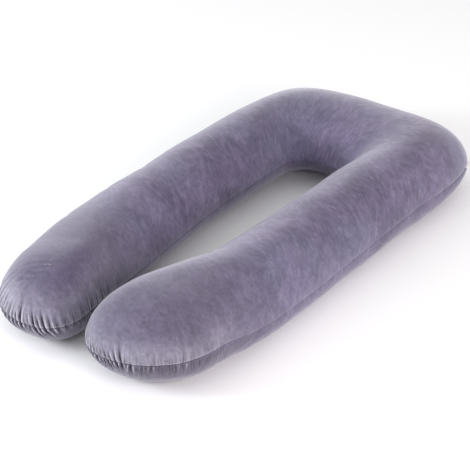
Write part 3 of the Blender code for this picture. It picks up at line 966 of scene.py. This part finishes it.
def velvet(name, sheen):
    """Short-pile polyester velvet, brushed by hand: soft and matt, with a glow where it turns away and
    with painted shade and highlights.
    """
    material, shader = new_material(name)
    node = partial(add_node, material)
    cloth = read_cloth(node)
    away = node("Math", (cloth.from_seam,), operation="ABSOLUTE")[0]
    from_nose = node("Math", (cloth.seam_run,), operation="ABSOLUTE")[0]
    at_end = node("MapRange", (from_nose, *END_IN_RUN), interpolation_type="SMOOTHSTEP")[0]
    middle = node("MapRange", (cloth.far_leg, 0.0, 1.0, *PAINTED_LIGHT_MIDDLE))[0]
    from_middle = node("Math", (cloth.seam_run, middle), operation="SUBTRACT")[0]
    from_middle = node("Math", (from_middle,), operation="ABSOLUTE")[0]

    # The pile is darker and lighter in wide patches and in strokes that cross the legs
    patches = node("TexNoise", {"Vector": cloth.place, "Scale": per_metre(PATCH_MM), "Detail": 5.0,
                                "Roughness": 0.6, "Distortion": 0.6})["Fac"]
    curved = wandering_nap(node, cloth)
    strokes = brushed_strokes(node, curved)
    wide = node("Math", (strokes[0], STROKE_SHARES[0]), operation="MULTIPLY")[0]
    narrow = node("Math", (strokes[1], STROKE_SHARES[1]), operation="MULTIPLY")[0]
    brushed = node("Math", (wide, narrow), operation="ADD")[0]
    broad = node("MapRange", (patches, *PATCH_TONE), interpolation_type="SMOOTHSTEP")[0]
    streaks = node("MapRange", (brushed, *STROKE_TONE), interpolation_type="SMOOTHSTEP")[0]
    tone = node("Math", (broad, streaks), operation="ADD")[0]
    folds = finest_folds(node, cloth, away, at_end)
    shade = node("MapRange", (folds, *FOLD_SHADE), interpolation_type="SMOOTHSTEP")[0]

    # Each layer tints the ones before it. A Mix node has its factor in input 0, its two colours in
    # inputs 6 and 7 and the mixed colour in output 2
    colour = hex_colour(VELVET_DARK_TONE_AND_SHADE)
    layers = [Layer(hex_colour(VELVET_LIGHT), (tone,))]
    layers += brushed_layers(node, cloth, strokes)
    layers += lying_pile_and_painted_light_layers(node, cloth, from_middle)
    layers += painted_highlight_layers(node, cloth, patches, from_middle, at_end)
    layers += marked_layers(node, cloth, curved, away, at_end)
    # painted shade in the valleys of the finest folds
    layers += [Layer(hex_colour(VELVET_CREVICE_SHADE), (shade,))]
    for layer in layers:
        share = layer.factors[0]
        for factor in layer.factors[1:]:
            share = node("Math", (share, factor), operation="MULTIPLY")[0]
        inputs = {0: share, 6: colour, 7: layer.tint}
        colour = node("Mix", inputs, data_type="RGBA", blend_type=layer.blend)[2]

    pile = node("TexNoise", {"Vector": cloth.place, "Scale": per_metre(PILE_MM), "Detail": 1.0})["Fac"]
    normal = {}
    for height, relief in ((folds, FOLD_RELIEF), (brushed, STROKE_RELIEF), (pile, PILE_RELIEF)):
        inputs = {"Height": height, "Strength": relief.strength, "Distance": relief.height, **normal}
        normal = {"Normal": node("Bump", inputs)["Normal"]}
    finish = {"Base Color": colour, "Sheen Weight": sheen, "Sheen Tint": hex_colour(VELVET_SHEEN_TINT)}
    finish.update(VELVET_FINISH)
    finish.update(normal)
    fill_inputs(material, shader, finish)
    return material


def label_satin():
    """Woven satin ribbon: bright white and smooth, with a soft highlight across its threads."""
    material, shader = new_material("white_woven_satin")
    node = partial(add_node, material)
    place = node("TexCoord")["Object"]
    weave = node("TexNoise", {"Vector": place, "Scale": per_metre(WEAVE_MM), "Detail": 0.0})["Fac"]
    inputs = {"Height": weave, "Strength": WEAVE_RELIEF.strength, "Distance": WEAVE_RELIEF.height}
    normal = node("Bump", inputs)["Normal"]
    finish = {"Base Color": hex_colour(LABEL_WHITE), "Roughness": LABEL_ROUGHNESS, "Normal": normal}
    fill_inputs(material, shader, finish)
    return material


def add_light(light):
    """A square soft light that faces the middle of the cushion."""
    data = bpy.data.lights.new(light.name, "AREA")
    data.size = light.size
    data.energy = light.energy
    data.color = hex_colour(light.colour)[:3]
    lamp = bpy.data.objects.new(light.name, data)
    lamp.location = light.place
    lamp.rotation_euler = (-lamp.location).to_track_quat("-Z", "Y").to_euler()
    bpy.context.scene.collection.objects.link(lamp)


def make_stage():
    """A white floor under soft light from both sides, as in a product photograph."""
    bpy.ops.mesh.primitive_plane_add(size=FLOOR_SIZE)
    floor = bpy.context.active_object
    floor.name = "floor"
    paint, shader = new_material("matt_white_floor")
    fill_inputs(paint, shader, {"Base Color": hex_colour(FLOOR_WHITE), "Roughness": FLOOR_ROUGHNESS})
    floor.data.materials.append(paint)
    world = bpy.data.worlds.new("studio")
    bpy.context.scene.world = world
    world.use_nodes = True
    sky = world.node_tree.nodes["Background"]
    sky.inputs["Color"].default_value = (1, 1, 1, 1)
    sky.inputs["Strength"].default_value = SKY_STRENGTH
    for light in LIGHTS:
        add_light(light)


def make_camera():
    """The photograph's view: from the right of the open end, 30 degrees above the floor."""
    level = math.cos(CAMERA_ELEVATION)
    back = Vector((math.sin(CAMERA_BEARING) * level, -math.cos(CAMERA_BEARING) * level,
                   math.sin(CAMERA_ELEVATION)))
    right = Vector((math.cos(CAMERA_BEARING), math.sin(CAMERA_BEARING), 0))
    up = back.cross(right)
    turned_right = right * math.cos(CAMERA_ROLL) + up * math.sin(CAMERA_ROLL)
    turned_up = up * math.cos(CAMERA_ROLL) - right * math.sin(CAMERA_ROLL)
    data = bpy.data.cameras.new("camera")
    data.sensor_width = SENSOR_MM
    data.lens = LENS_MM
    camera = bpy.data.objects.new("camera", data)
    facing = Matrix((turned_right, turned_up, back)).transposed().to_4x4()
    camera.matrix_world = Matrix.Translation(CAMERA_PLACE) @ facing
    bpy.context.scene.collection.objects.link(camera)
    bpy.context.scene.camera = camera


def show(obj, node, slot, *materials):
    """Let this object stand for a node of the CAD part."""
    for material in materials:
        obj.data.materials.append(material)
    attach(obj, "root")
    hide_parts(node)


cushion = make_cushion()
upper_velvet = velvet("short_pile_velvet", UPPER_SHEEN)
lower_velvet = velvet("short_pile_velvet_lying_down", LOWER_SHEEN)
show(cushion, "pillow_body", "velvet", upper_velvet, lower_velvet)
label = make_label()
show(label, "side_label", "label_satin", label_satin())
make_stage()
make_camera()
bpy.context.scene.view_settings.view_transform = "Standard"
